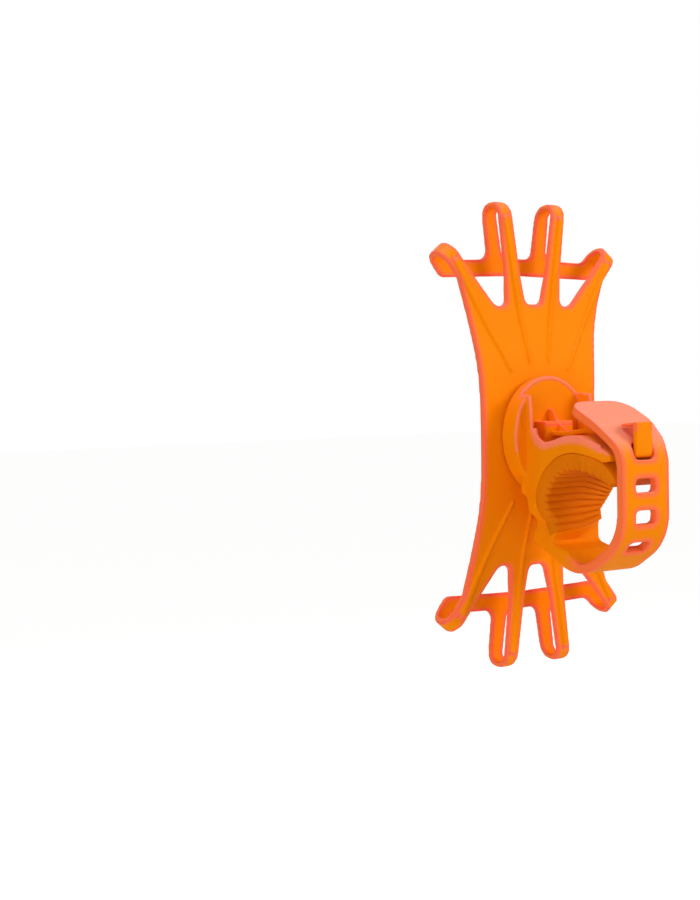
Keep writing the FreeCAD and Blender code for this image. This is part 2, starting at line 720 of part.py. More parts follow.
def band_profile(thickness):
    """Side view of the strap: its middle line given a thickness."""
    line = strap_line()
    outer = line.makeOffset2D(thickness / 2, 0, False, True, False)
    inner = line.makeOffset2D(-thickness / 2, 0, False, True, False)
    return joined_sides(outer, inner)


def slot_cutter(at, turn, top):
    """A rounded hole through the strap, its long side across the strap, its upper end at a height."""
    low = closed_face([(xz(x, z), 1.2) for x, z in (
        (-slot_width / 2, -slot_height / 2), (slot_width / 2, -slot_height / 2),
        (slot_width / 2, top), (-slot_width / 2, top))])
    cutter = through(low, -strap_thickness * 1.3, strap_thickness * 1.3)
    cutter.rotate(Vector(0, 0, 0), Vector(1, 0, 0), turn)
    cutter.translate(at)
    return cutter


def bend_centre(number):
    """Centre of the strap's bend at one of its corners, both bends being behind the handlebar."""
    before, here, after = [point for point, _ in strap_corners()[number - 1:number + 2]]
    radius = strap_corners()[number][1]
    arrive = (here - before).normalize()
    leave = (after - here).normalize()
    return here + (leave - arrive).normalize() * (radius / math.cos(arrive.getAngle(leave) / 2))


def slot_places():
    """Middle points of the slots on the strap's middle line, with their turns, top to bottom."""
    low, high = bend_centre(2), bend_centre(3)
    run = high.z - low.z
    top_turn = math.asin((top_slot_height - high.z) / strap_high_bend)
    places = []
    for number in range(slot_count):
        along = slot_pitch * number - top_turn * strap_high_bend
        if along < 0:
            turn = -along / strap_high_bend
            places.append((around(high, strap_high_bend, math.degrees(turn)), math.degrees(turn)))
        elif along < run:
            places.append((yz(high.y + strap_high_bend, high.z - along), 0))
        else:
            turn = -(along - run) / strap_low_bend
            places.append((around(low, strap_low_bend, math.degrees(turn)), math.degrees(turn)))
    return places


def tail_plan():
    """The strap seen square to its tail: straight sides and two round corners at the end."""
    end, before = strap_corners()[-1][0], strap_corners()[-2][0]
    half = tail_width / 2
    face = closed_face([(Vector(-half, 0, 0), tail_corner), (Vector(half, 0, 0), tail_corner),
                        (Vector(half, FAR / 2, 0), 0), (Vector(-half, FAR / 2, 0), 0)])
    face.translate(Vector(0, 0, -FAR / 2))
    prism = face.extrude(Vector(0, 0, FAR))
    slope = math.degrees(math.atan2(end.z - before.z, before.y - end.y))
    prism.rotate(Vector(0, 0, 0), Vector(1, 0, 0), -slope)
    prism.translate(end)
    return prism


def make_bar_strap():
    wide = across(band_profile(strap_thickness), tail_width)
    hinge = strap_hinge()
    root = Part.makeCylinder(strap_thickness / 2, strap_width, Vector(-strap_width / 2, hinge.y, hinge.z),
                             Vector(1, 0, 0))
    right = [(xz(strap_width / 2, -FAR / 2), 0), (xz(strap_width / 2, tail_start), 12),
             (xz(tail_width / 2, tail_full), 12), (xz(tail_width / 2, FAR / 2), 0)]
    left = [(xz(-p.x, p.z), r) for p, r in reversed(right)]
    band = wide.common(through(closed_face(right + left))).common(tail_plan()).fuse(root)
    for number, (at, turn) in enumerate(slot_places()):
        top = slot_height / 2 + (slot_stretch if number == 0 else 0)
        band = band.cut(slot_cutter(at, turn, top))
    return one_solid(band)


def hook_line():
    """Middle line of the hook's flat arm, from the boss over the saddle to its nose."""
    top = saddle_radius + bar.z + hook_plate / 2
    shank = slot_corner(1, -1).z + turn_gap + hook_plate / 2
    nose = around(bar, pad_radius + nose_out, nose_angle)
    return [(yz(boss_back, hook_root_height), 0), (yz(hook_level_end, hook_root_height), 5),
            (yz(bar.y + hook_crest[0], top), 8), (yz(bar.y + hook_crest[1], top), 9),
            (yz(nose.y - hook_shank_start, shank), 1.5),
            (yz(nose.y, shank), 0)]


def slot_corner(across_strap, along_strap):
    """A point on the top slot's wall: out through the strap (+1 or -1), up along it (+1 or -1)."""
    middle, turn = slot_places()[0]
    out = around(Vector(0, 0, 0), 1, turn)
    up = around(Vector(0, 0, 0), 1, turn + 90)
    reach = slot_height / 2 + (slot_stretch if along_strap > 0 else 0)
    face = strap_high_bend + across_strap * strap_thickness / 2
    depth = math.sqrt(face ** 2 - reach ** 2) - strap_high_bend
    return middle + out * depth + up * (along_strap * reach)


def joined_sides(one, other):
    """The face between two open lines that run side by side."""
    ends = [Part.LineSegment(one.OrderedVertexes[i].Point, other.OrderedVertexes[i].Point).toShape()
            for i in (0, -1)]
    return Part.Face(Part.Wire(Part.__sortEdges__(one.Edges + other.Edges + ends)))


def strip_sides():
    """The hook arm's upper and lower lines in the side view."""
    line = Part.Wire(rounded_path(hook_line()))
    pair = [line.makeOffset2D(s * hook_plate / 2, 0, False, True, False) for s in (-1, 1)]
    return sorted(pair, key=lambda side: side.CenterOfMass.z)


def hook_bed():
    """What the seat leaves free for the hook arm: its strip and all that is above it."""
    under, _ = strip_sides()
    ends = under.OrderedVertexes[0].Point, under.OrderedVertexes[-1].Point
    lid = Part.makePolygon([ends[1], yz(ends[1].y, FAR / 4), yz(ends[0].y, FAR / 4), ends[0]])
    return across(Part.Face(Part.Wire(Part.__sortEdges__(under.Edges + lid.Edges))), hook_width)


def make_hook_arm():
    under, over = strip_sides()
    strip = across(joined_sides(under, over), hook_width)
    shank_low = slot_corner(1, -1).z + turn_gap
    shank_high = shank_low + hook_plate
    shank_front = hook_line()[-1][0].y - 0.2
    post_front = slot_corner(1, 1).y + turn_gap
    post_back = post_front + hook_post
    tip = post_back - hook_tip_reach
    tip_top = hook_tip_height - hook_tip_drop
    side = closed_face([(yz(shank_front, shank_low), 0), (yz(post_back, shank_low), 1.6),
                        (yz(post_back, hook_tip_height), 0.5), (yz(tip, tip_top), 0.3),
                        (yz(tip, tip_top - hook_tip_plate), 0.3), (yz(post_front, hook_tip_height - hook_tip_plate), 0),
                        (yz(post_front, shank_high), 0), (yz(shank_front, shank_high), 0)])
    return one_solid(strip.fuse(across(side, hook_width)))


# ---- write every piece ------------------------------------------------------------------------------------
def all_pieces():
    hook = make_hook_arm()
    return {
        "phone_cradle": make_phone_cradle(),
        "front_button": make_front_button(),
        "badge_disc": make_badge_disc(),
        "badge_adhesive": make_badge_adhesive(),
        "rotor_plate": make_rotor_plate(),
        "thrust_washer": make_thrust_washer(),
        "spring_washer": make_spring_washer(),
        "pivot_screw": make_pivot_screw(),
        "pivot_bush": make_pivot_bush(),
        "friction_ring": make_friction_ring(),
        "swivel_core": make_swivel_core(),
        "thread_insert": make_thread_insert(),
        "seat_body": make_seat_body(hook),
        "grip_pad": make_grip_pad(),
        "hook_arm": hook,
        "bar_strap": make_bar_strap(),
    }


os.makedirs("parts", exist_ok=True)
for node, shape in all_pieces().items():
    shape.translate(-bar)
    box = shape.BoundBox
    print(f"{node:16s} solids {len(shape.Solids)} valid {shape.isValid()} volume {shape.Volume:9.2f}"
          f"  X {box.XMin:.1f}..{box.XMax:.1f} Y {box.YMin:.1f}..{box.YMax:.1f} Z {box.ZMin:.1f}..{box.ZMax:.1f}")
    shape.exportStep(f"parts/{node}.step")
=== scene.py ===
# %% [markdown]
# # A silicone phone mount for a handlebar
# The object is soft orange silicone: a bowed web with eight loops that stretch over a phone's
# corners, a round hub that it turns on, and a ribbed saddle with a slotted strap. Its sizes come
# from a fixed frame of plain parts. This lesson gives each visible part its moulded softness
# and its finish, then lights it plainly and looks at it from behind and to one side.

import json
import math
import bpy
import bmesh
from mathutils import Matrix, Vector
from mathutils.bvhtree import BVHTree
from mathutils.kdtree import KDTree


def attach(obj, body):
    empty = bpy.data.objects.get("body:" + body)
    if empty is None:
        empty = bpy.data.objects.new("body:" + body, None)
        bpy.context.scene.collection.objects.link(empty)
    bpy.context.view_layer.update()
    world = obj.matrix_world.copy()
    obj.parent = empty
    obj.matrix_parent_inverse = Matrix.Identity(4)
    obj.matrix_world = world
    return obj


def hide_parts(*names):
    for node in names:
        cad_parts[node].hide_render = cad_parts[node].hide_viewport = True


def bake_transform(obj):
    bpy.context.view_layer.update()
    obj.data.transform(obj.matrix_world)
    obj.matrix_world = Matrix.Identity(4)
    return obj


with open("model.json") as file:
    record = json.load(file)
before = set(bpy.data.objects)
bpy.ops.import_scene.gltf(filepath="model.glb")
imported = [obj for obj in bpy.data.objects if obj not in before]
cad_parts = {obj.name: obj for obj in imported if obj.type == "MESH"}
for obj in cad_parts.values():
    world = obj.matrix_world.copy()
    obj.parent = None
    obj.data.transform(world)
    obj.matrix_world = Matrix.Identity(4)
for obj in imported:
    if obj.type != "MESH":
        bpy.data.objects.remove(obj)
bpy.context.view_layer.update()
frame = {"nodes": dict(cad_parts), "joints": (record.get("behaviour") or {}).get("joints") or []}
nodes = frame["nodes"]
mm = 0.001
print("parts:", sorted(nodes))

# %% [markdown]
# ## Where the swivel is
# Everything on the cradle is drawn about the swivel's axis, and the seat about the
# handlebar's axis, which is the frame's own origin.

# %% The swivel's place
swivel = next(joint for joint in frame["joints"] if joint["name"] == "swivel")
hub = Vector(swivel["pos_m"])
print("hub at", [round(value / mm, 2) for value in hub], "mm")

# %% [markdown]
# ## The camera
# The view is from behind and to one side, almost level. The camera stands 451 mm from the hub
# and looks slightly past it, so that the hub lies right of the middle of the picture.

# %% The camera
azimuth = math.radians(139.902)
elevation = math.radians(2.272)
roll = math.radians(-0.814)
distance = 451.31 * mm
focal_px = 1650.09
hub_px = (541.325, 437.662)
image_size = (700, 900)
sensor_mm = 36.0

toward_camera = Vector((math.sin(azimuth) * math.cos(elevation),
                        -math.cos(azimuth) * math.cos(elevation),
                        math.sin(elevation)))
look = -toward_camera
right = look.cross(Vector((0, 0, 1))).normalized()
up = right.cross(look)
yaw = math.atan((hub_px[0] - image_size[0] / 2) / focal_px)
pitch = math.atan(-(hub_px[1] - image_size[1] / 2) / focal_px * math.cos(yaw))
turn_side = Matrix.Rotation(yaw, 3, up)
look, right = turn_side @ look, turn_side @ right
turn_up = Matrix.Rotation(-pitch, 3, right)
look, up = turn_up @ look, turn_up @ up
tilt = Matrix.Rotation(-roll, 3, look)
right, up = tilt @ right, tilt @ up

camera_data = bpy.data.cameras.new("camera")
camera_data.sensor_fit = "VERTICAL"
camera_data.sensor_height = sensor_mm
camera_data.lens = focal_px * sensor_mm / image_size[1]
camera_data.clip_start = 0.01
camera = bpy.data.objects.new("camera", camera_data)
bpy.context.collection.objects.link(camera)
pose = Matrix((right, up, -look)).transposed().to_4x4()
pose.translation = hub + toward_camera * distance
camera.matrix_world = pose
bpy.context.scene.camera = camera
print("camera at", [round(value / mm, 1) for value in camera.location],
      "mm, lens", round(camera_data.lens, 1))

# %% [markdown]
# ## Light and floor
# Large soft lamps and an even pale world light the mount at a plain level. What the camera sees
# of the world is white, and so is the pale floor, apart from the mount's faint shadow.

# %% The world
world = bpy.data.worlds.new("studio")
bpy.context.scene.world = world
world.use_nodes = True
tree = world.node_tree
tree.nodes.clear()
output = tree.nodes.new("ShaderNodeOutputWorld")
ambient = tree.nodes.new("ShaderNodeBackground")
ambient.inputs["Color"].default_value = (1.0, 0.90, 0.82, 1.0)
ambient.inputs["Strength"].default_value = 0.26
seen = tree.nodes.new("ShaderNodeBackground")
seen.inputs["Color"].default_value = (1.0, 1.0, 1.0, 1.0)
seen.inputs["Strength"].default_value = 1.0
light_path = tree.nodes.new("ShaderNodeLightPath")
choose = tree.nodes.new("ShaderNodeMixShader")
tree.links.new(light_path.outputs["Is Camera Ray"], choose.inputs["Fac"])
tree.links.new(ambient.outputs["Background"], choose.inputs[1])
tree.links.new(seen.outputs["Background"], choose.inputs[2])
tree.links.new(choose.outputs["Shader"], output.inputs["Surface"])


# %% The lamps
def add_lamp(name, place_mm, aim_mm, size_mm, watts):
    """A square, soft, white lamp that looks at a point."""
    lamp = bpy.data.lights.new(name, "AREA")
    lamp.shape = "SQUARE"
    lamp.size = size_mm * mm
    lamp.energy = watts
    holder = bpy.data.objects.new(name, lamp)
    bpy.context.collection.objects.link(holder)
    holder.location = Vector(place_mm) * mm
    aim = Vector(aim_mm) * mm - holder.location
    holder.rotation_euler = aim.to_track_quat("-Z", "Y").to_euler()


add_lamp("lamp_key", (-280, 320, 190), (0, -10, 10), 220, 1.27)
add_lamp("lamp_over", (60, 60, 440), (0, -10, 20), 300, 0.85)
add_lamp("lamp_camera_side", (520, 230, 50), (0, 0, 10), 320, 1.22)
add_lamp("lamp_front", (-60, -480, 180), (0, 0, 20), 320, 1.25)

# %% The floor
floor_size_m, floor_height_m = 6.0, -0.118
glow_strength, glow_share = 1.12, 0.85      # what the camera sees of the floor is mostly this glow
bpy.ops.object.select_all(action="DESELECT")
bpy.ops.mesh.primitive_plane_add(size=floor_size_m, location=(0, 0, floor_height_m))
floor = bpy.context.object
floor.name = "floor"
floor_paint = bpy.data.materials.new("floor_white")
floor_paint.use_nodes = True
tree = floor_paint.node_tree
tree.nodes.clear()
output = tree.nodes.new("ShaderNodeOutputMaterial")
matt = tree.nodes.new("ShaderNodeBsdfDiffuse")
matt.inputs["Color"].default_value = (0.86, 0.86, 0.86, 1.0)
glow = tree.nodes.new("ShaderNodeEmission")
glow.inputs["Color"].default_value = (1.0, 1.0, 1.0, 1.0)
glow.inputs["Strength"].default_value = glow_strength
light_path = tree.nodes.new("ShaderNodeLightPath")
choose = tree.nodes.new("ShaderNodeMixShader")
seen_share = tree.nodes.new("ShaderNodeMath")
seen_share.operation = "MULTIPLY"
seen_share.inputs[1].default_value = glow_share
tree.links.new(light_path.outputs["Is Camera Ray"], seen_share.inputs[0])
tree.links.new(seen_share.outputs["Value"], choose.inputs["Fac"])
tree.links.new(matt.outputs["BSDF"], choose.inputs[1])
tree.links.new(glow.outputs["Emission"], choose.inputs[2])
tree.links.new(choose.outputs["Shader"], output.inputs["Surface"])
floor.data.materials.append(floor_paint)


# %% [markdown]
# ## Materials
# First the effect that the silicone finishes share, as one node group; it paints pink highlights on rims
# and tops and shade in hollows. The liner's finish is painted darker, for the strap's shadow on it, and
# has no pink rim; the thin rays on the web's front are painted paler, as a highlight.

# %% Helpers for node trees
def add_node(tree, kind, **settings):
    """A node with its properties and unlinked input values set."""
    node = tree.nodes.new(kind)
    for name, value in settings.items():
        if name in node.inputs:
            node.inputs[name].default_value = value
        else:
            setattr(node, name, value)
    return node


def new_group(name, inputs, outputs):
    """An empty node group with its sockets; returns the group, its input and its output node."""
    group = bpy.data.node_groups.new(name, "ShaderNodeTree")
    for label, kind, value in inputs:
        socket = group.interface.new_socket(label, in_out="INPUT", socket_type=kind)
        socket.default_value = value
    for label, kind in outputs:
        group.interface.new_socket(label, in_out="OUTPUT", socket_type=kind)
    return group, group.nodes.new("NodeGroupInput"), group.nodes.new("NodeGroupOutput")


def scale_mask(tree, source, low, high):
    """A value between two limits stretched to 0..1, smoothly."""
    ramp = tree.nodes.new("ShaderNodeMapRange")
    ramp.interpolation_type = "SMOOTHSTEP"
    ramp.inputs["From Min"].default_value = low
    ramp.inputs["From Max"].default_value = high
    tree.links.new(source, ramp.inputs["Value"])
    return ramp.outputs["Result"]


# %% The group for moulded silicone
front_limits = (0.2, -0.7)          # of the normal's Y: from side to front
behind_limits = (-0.75, -0.35)      # of the normal's Y: no painted pink rim highlight on faces that look forward
top_highlight_limits = (0.25, 0.9)            # of the normal's Z: from side to top, where the painted highlight lies
lit_heights = (-0.006, 0.012)       # metres: the painted pink highlight on top fades in between these
hollow_limits = (0.49, 0.42)        # of the pointiness: from flat to hollow, where the painted shade lies
cloud_tones = (0.955, 1.045)
silicone_roughness = (0.44, 0.56)
silicone_gloss = 0.025
glow_through, glow_depth = 0.12, 0.0012     # share of light that gets in, and how deep, metres
glow_colours = (1.0, 0.35, 0.08)            # red goes deepest


def moulded_silicone_group():
    """Colour and surface of moulded silicone: a paler and pinker painted highlight along thin edges and
    on tops that face up, a little deeper painted shade in the hollows, with faint clouds and a fine
    grain."""
    # Edge and Top are colours of painted highlight, Hollow a colour of painted shade
    group, given, made = new_group(
        "moulded_silicone",
        [("Body", "NodeSocketColor", (0.9, 0.24, 0.005, 1)),
         ("Front", "NodeSocketColor", (0.9, 0.24, 0.005, 1)),
         ("Edge", "NodeSocketColor", (1, 0.2, 0.1, 1)),
         ("Hollow", "NodeSocketColor", (0.5, 0.1, 0.0, 1)),
         ("Top", "NodeSocketColor", (1, 0.3, 0.2, 1)),
         ("Edge amount", "NodeSocketFloat", 0.8), ("Top amount", "NodeSocketFloat", 0.5)],
        [("Colour", "NodeSocketColor"), ("Roughness", "NodeSocketFloat"), ("Height", "NodeSocketFloat")])
    link = group.links.new
    place = add_node(group, "ShaderNodeTexCoord")
    facts = add_node(group, "ShaderNodeNewGeometry")
    turn = add_node(group, "ShaderNodeSeparateXYZ")
    link(place.outputs["Normal"], turn.inputs["Vector"])

    facing = scale_mask(group, turn.outputs["Y"], *front_limits)
    base = add_node(group, "ShaderNodeMix", data_type="RGBA")
    link(facing, base.inputs["Factor"])
    link(given.outputs["Body"], base.inputs[6])
    link(given.outputs["Front"], base.inputs[7])

    clouds = add_node(group, "ShaderNodeTexNoise", Scale=90.0, Detail=3.0)
    link(place.outputs["Object"], clouds.inputs["Vector"])
    cloudy = add_node(group, "ShaderNodeHueSaturation")
    lift = add_node(group, "ShaderNodeMapRange")
    lift.inputs["To Min"].default_value, lift.inputs["To Max"].default_value = cloud_tones
    link(clouds.outputs["Fac"], lift.inputs["Value"])
    link(lift.outputs["Result"], cloudy.inputs["Value"])
    link(base.outputs[2], cloudy.inputs["Color"])

    # painted shade in the hollows
    hollow = scale_mask(group, facts.outputs["Pointiness"], *hollow_limits)
    deep = add_node(group, "ShaderNodeMix", data_type="RGBA")
    link(hollow, deep.inputs["Factor"])
    link(cloudy.outputs["Color"], deep.inputs[6])
    link(given.outputs["Hollow"], deep.inputs[7])

    # a painted pink highlight along the marked rims, left off faces that look forward
    rim = add_node(group, "ShaderNodeAttribute", attribute_name="rim")
    behind = scale_mask(group, turn.outputs["Y"], *behind_limits)
    rear_rim = add_node(group, "ShaderNodeMath", operation="MULTIPLY")
    link(rim.outputs["Fac"], rear_rim.inputs[0])
    link(behind, rear_rim.inputs[1])
    edge_share = add_node(group, "ShaderNodeMath", operation="MULTIPLY")
    link(rear_rim.outputs["Value"], edge_share.inputs[0])
    link(given.outputs["Edge amount"], edge_share.inputs[1])
    rimmed = add_node(group, "ShaderNodeMix", data_type="RGBA")
    link(edge_share.outputs["Value"], rimmed.inputs["Factor"])
    link(deep.outputs[2], rimmed.inputs[6])
    link(given.outputs["Edge"], rimmed.inputs[7])
    # a painted highlight on faces that look up, above a height
    top = scale_mask(group, turn.outputs["Z"], *top_highlight_limits)
    height = add_node(group, "ShaderNodeSeparateXYZ")
    link(place.outputs["Object"], height.inputs["Vector"])
    lit = scale_mask(group, height.outputs["Z"], *lit_heights)
    lit_top = add_node(group, "ShaderNodeMath", operation="MULTIPLY")
    link(top, lit_top.inputs[0])
    link(lit, lit_top.inputs[1])
    top_share = add_node(group, "ShaderNodeMath", operation="MULTIPLY")
    link(lit_top.outputs["Value"], top_share.inputs[0])
    link(given.outputs["Top amount"], top_share.inputs[1])
    tinted = add_node(group, "ShaderNodeMix", data_type="RGBA")
    link(top_share.outputs["Value"], tinted.inputs["Factor"])
    link(rimmed.outputs[2], tinted.inputs[6])
    link(given.outputs["Top"], tinted.inputs[7])
    link(tinted.outputs[2], made.inputs["Colour"])

    rough = add_node(group, "ShaderNodeMapRange")
    rough.inputs["To Min"].default_value, rough.inputs["To Max"].default_value = silicone_roughness
    link(clouds.outputs["Fac"], rough.inputs["Value"])
    link(rough.outputs["Result"], made.inputs["Roughness"])

    grain = add_node(group, "ShaderNodeTexNoise", Scale=2600.0, Detail=2.0)
    link(place.outputs["Object"], grain.inputs["Vector"])
    link(grain.outputs["Fac"], made.inputs["Height"])
    return group


silicone_group = moulded_silicone_group()


def silicone(name, body, front, edge, hollow, edge_highlight_amount, top_highlight_amount, grain_mm=0.012):
    """One silicone finish: the shared group with its own colours on a plain shader."""
    material = bpy.data.materials.new(name)
    material.use_nodes = True
    tree = material.node_tree
    shader = tree.nodes["Principled BSDF"]
    shader.inputs["Specular IOR Level"].default_value = silicone_gloss
    shader.inputs["Subsurface Weight"].default_value = glow_through
    shader.inputs["Subsurface Radius"].default_value = glow_colours
    shader.inputs["Subsurface Scale"].default_value = glow_depth
    look_up = tree.nodes.new("ShaderNodeGroup")
    look_up.node_tree = silicone_group
    # the painted highlight colours go to Edge and Top, the painted shade colour to Hollow
    for label, value in (("Body", body), ("Front", front), ("Edge", edge), ("Hollow", hollow),
                         ("Top", top_highlight_blush)):
        look_up.inputs[label].default_value = (*value, 1.0)
    look_up.inputs["Edge amount"].default_value = edge_highlight_amount
    look_up.inputs["Top amount"].default_value = top_highlight_amount
    bump = add_node(tree, "ShaderNodeBump", Strength=0.25, Distance=grain_mm * mm)
    tree.links.new(look_up.outputs["Colour"], shader.inputs["Base Color"])
    tree.links.new(look_up.outputs["Roughness"], shader.inputs["Roughness"])
    tree.links.new(look_up.outputs["Height"], bump.inputs["Height"])
    tree.links.new(bump.outputs["Normal"], shader.inputs["Normal"])
    return material


amber = (0.92, 0.245, 0.001)
flame = (1.0, 0.195, 0.018)
# painted pink highlight on rims
rim_highlight_coral = (1.0, 0.15, 0.075)
# painted highlight on tops that face up
top_highlight_blush = (1.0, 0.31, 0.22)
# painted pink highlight on the seat's ridge and walls
ridge_highlight_rose = (1.0, 0.23, 0.16)
# painted shade in hollows
hollow_shade_burnt = (0.60, 0.105, 0.001)
# painted shade: the liner is darker, for the strap's shadow on it
liner_shade_amber = (0.74, 0.175, 0.001)
# painted highlight: the front's thin rays are paler, as lit raised lines
ray_highlight_pale = (1.0, 0.25, 0.035)
# how much painted rim highlight and painted top highlight each finish gets
web_silicone = silicone("web_silicone", amber, flame, rim_highlight_coral, hollow_shade_burnt, edge_highlight_amount=1.0, top_highlight_amount=0.3)
seat_silicone = silicone("seat_silicone", amber, amber, ridge_highlight_rose, hollow_shade_burnt, edge_highlight_amount=0.9, top_highlight_amount=0.1)
# the liner is painted darker, for the strap's shadow on it
liner_shaded_silicone = silicone("liner_shaded_silicone", liner_shade_amber, liner_shade_amber, rim_highlight_coral, hollow_shade_burnt,
                          edge_highlight_amount=0.0, top_highlight_amount=0.0)
# the rays' finish is a painted highlight, paler than the web
ray_highlight_silicone = silicone("ray_highlight_silicone", ray_highlight_pale, ray_highlight_pale, ray_highlight_pale, ray_highlight_pale, edge_highlight_amount=0.0, top_highlight_amount=0.0)
strap_silicone = silicone("strap_silicone", amber, amber, rim_highlight_coral, hollow_shade_burnt, edge_highlight_amount=0.8, top_highlight_amount=0.9)


# %% [markdown]
# The other materials are simpler: black plastic, nylon, steel, brass, rubber and film. One helper
# makes them all, with a fine grain that also varies the roughness, so that none looks painted.

# %% Plain finishes
def plain(name, colour, roughness, metallic=0.0, grain_scale=1500.0, grain_mm=0.006, spread=0.06):
    """A finish with a fine grain and a little roughness variation."""
    material = bpy.data.materials.new(name)
    material.use_nodes = True
    tree = material.node_tree
    shader = tree.nodes["Principled BSDF"]
    shader.inputs["Metallic"].default_value = metallic
    place = add_node(tree, "ShaderNodeTexCoord")
    grain = add_node(tree, "ShaderNodeTexNoise", Scale=grain_scale, Detail=2.0)
    tree.links.new(place.outputs["Object"], grain.inputs["Vector"])
    tone = add_node(tree, "ShaderNodeMix", data_type="RGBA")
    tone.inputs[6].default_value = (*[value * (1 - spread) for value in colour], 1.0)
    tone.inputs[7].default_value = (*[min(1.0, value * (1 + spread)) for value in colour], 1.0)
    tree.links.new(grain.outputs["Fac"], tone.inputs["Factor"])
    tree.links.new(tone.outputs[2], shader.inputs["Base Color"])
    rough = add_node(tree, "ShaderNodeMapRange")
    rough.inputs["To Min"].default_value = roughness - 0.05
    rough.inputs["To Max"].default_value = roughness + 0.05
    tree.links.new(grain.outputs["Fac"], rough.inputs["Value"])
    tree.links.new(rough.outputs["Result"], shader.inputs["Roughness"])
    bump = add_node(tree, "ShaderNodeBump", Strength=0.3, Distance=grain_mm * mm)
    tree.links.new(grain.outputs["Fac"], bump.inputs["Height"])
    tree.links.new(bump.outputs["Normal"], shader.inputs["Normal"])
    return material


black_plastic = plain("black_plastic", (0.012, 0.012, 0.013), 0.42)
nylon = plain("white_nylon", (0.78, 0.76, 0.70), 0.45)
steel = plain("spring_steel", (0.52, 0.52, 0.53), 0.30, metallic=1.0)
brass = plain("turned_brass", (0.72, 0.50, 0.20), 0.30, metallic=1.0)
black_rubber = plain("black_rubber", (0.02, 0.02, 0.02), 0.7)
adhesive = plain("adhesive_film", (0.75, 0.75, 0.70), 0.5)
# painted pink highlights on rims and tops and painted shade in hollows, as on the silicone
hard_orange = silicone("hard_orange", amber, amber, rim_highlight_coral, hollow_shade_burnt,
                       edge_highlight_amount=0.9, top_highlight_amount=0.1, grain_mm=0.006)


# %% [markdown]
# The disc in the button is aluminium brushed in circles. A noise that changes only with the
# distance from the swivel's axis gives it rings of slightly different tone and height.

# %% The brushed disc
def brushed_disc():
    """Metal brushed in circles about the swivel: rings of slightly different tone and height."""
    material = bpy.data.materials.new("brushed_badge")
    material.use_nodes = True
    tree = material.node_tree
    shader = tree.nodes["Principled BSDF"]
    shader.inputs["Metallic"].default_value = 1.0
    place = add_node(tree, "ShaderNodeTexCoord")
    centre = add_node(tree, "ShaderNodeMapping")
    centre.inputs["Location"].default_value = (-hub.x, -hub.y, -hub.z)
    tree.links.new(place.outputs["Object"], centre.inputs["Vector"])
    flat = add_node(tree, "ShaderNodeVectorMath", operation="MULTIPLY")
    flat.inputs[1].default_value = (1.0, 0.0, 1.0)
    tree.links.new(centre.outputs["Vector"], flat.inputs[0])
    reach = add_node(tree, "ShaderNodeVectorMath", operation="LENGTH")
    tree.links.new(flat.outputs["Vector"], reach.inputs[0])
    rings = add_node(tree, "ShaderNodeTexNoise", noise_dimensions="1D", Scale=9000.0, Detail=3.0)
    tree.links.new(reach.outputs["Value"], rings.inputs["W"])
    tone = add_node(tree, "ShaderNodeMix", data_type="RGBA")
    tone.inputs[6].default_value = (0.30, 0.30, 0.31, 1.0)
    tone.inputs[7].default_value = (0.44, 0.44, 0.45, 1.0)
    tree.links.new(rings.outputs["Fac"], tone.inputs["Factor"])
    tree.links.new(tone.outputs[2], shader.inputs["Base Color"])
    rough = add_node(tree, "ShaderNodeMapRange")
    rough.inputs["To Min"].default_value = 0.26
    rough.inputs["To Max"].default_value = 0.44
    tree.links.new(rings.outputs["Fac"], rough.inputs["Value"])
    tree.links.new(rough.outputs["Result"], shader.inputs["Roughness"])
    bump = add_node(tree, "ShaderNodeBump", Strength=0.4, Distance=0.004 * mm)
    tree.links.new(rings.outputs["Fac"], bump.inputs["Height"])
    tree.links.new(bump.outputs["Normal"], shader.inputs["Normal"])
    return material


badge_metal = brushed_disc()

# %% Finishes on the frame's own parts
finishes = {
    "phone_cradle": web_silicone, "front_button": black_plastic, "badge_disc": badge_metal,
    "badge_adhesive": adhesive, "rotor_plate": black_plastic, "thrust_washer": nylon,
    "spring_washer": steel, "pivot_screw": steel, "pivot_bush": nylon, "friction_ring": black_rubber,
    "swivel_core": hard_orange, "thread_insert": brass, "seat_body": seat_silicone,
    "grip_pad": seat_silicone, "hook_arm": hard_orange, "bar_strap": strap_silicone,
}
for name, material in finishes.items():
    mesh = nodes[name].data
    mesh.materials.clear()
    mesh.materials.append(material)
print("finished", len(finishes), "parts")


# %% [markdown]
# ## Soft moulded forms
# Silicone comes out of its mould with every edge rounded, and its walls run into each other in
# small fillets. A bevel on each edge would be hard to keep clean where so many walls meet. So a
# copy of the plain part is wrapped in a fine, even skin by a voxel remesh, and a few smoothing
# passes round its edges and fillet its corners, as the mould does. The voxels are 0.2 to 0.3 mm.

# %% A soft copy of a plain part
join_mm = 0.002         # points of the plain mesh that are nearer than this are one point
smoothing = 0.5         # how far one pass moves a point towards its neighbours' middle


def clamp(value):
    """A value held between 0 and 1."""
    return min(1.0, max(0.0, value))


def copy_of(node, name):
    """A separate, merged copy of a frame part, alone in the selection."""
    bpy.ops.object.select_all(action="DESELECT")
    piece = nodes[node].copy()
    piece.data = nodes[node].data.copy()
    piece.name = name
    piece.parent = None
    bpy.context.collection.objects.link(piece)
    bpy.context.view_layer.objects.active = piece
    piece.select_set(True)
    bpy.ops.object.mode_set(mode="EDIT")
    bpy.ops.mesh.select_all(action="SELECT")
    bpy.ops.mesh.remove_doubles(threshold=join_mm * mm)
    bpy.ops.object.mode_set(mode="OBJECT")
    return piece


def apply_modifier(piece, kind, **settings):
    """Adds one modifier, sets it and applies it at once."""
    bpy.context.view_layer.objects.active = piece
    modifier = piece.modifiers.new(kind.lower(), kind)
    for name, value in settings.items():
        setattr(modifier, name, value)
    bpy.ops.object.modifier_apply(modifier=modifier.name)


